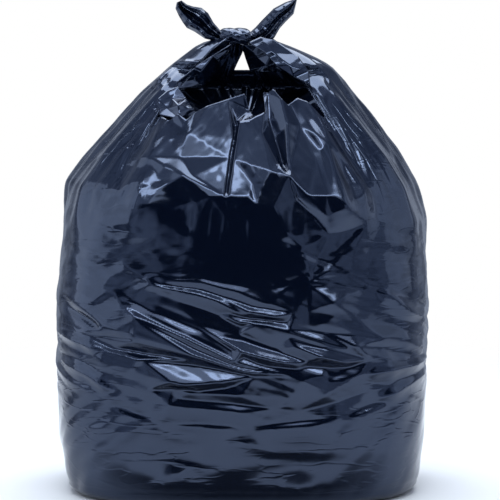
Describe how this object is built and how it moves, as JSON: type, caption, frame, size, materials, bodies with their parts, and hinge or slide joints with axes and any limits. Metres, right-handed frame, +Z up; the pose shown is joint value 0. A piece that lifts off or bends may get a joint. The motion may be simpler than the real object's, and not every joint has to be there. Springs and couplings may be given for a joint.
{
  "type": "filled and tied bin bag",
  "caption": "Full black plastic refuse sack standing on its flat base, its mouth gathered into side bands that are tied in a knot with loose ears.",
  "frame": {"origin": "on the floor, under the middle of the bag", "axes": "+Z up through the knot, -Y towards the front with the open folds of the mouth, +X to the right seen from the front"},
  "size_m": [0.5588, 0.4048, 0.742],
  "materials": {
    "film": "glossy black-blue polythene film, crumpled"
  },
  "bodies": {
    "root": {"tied_bag": "film"}
  },
  "joints": []
}
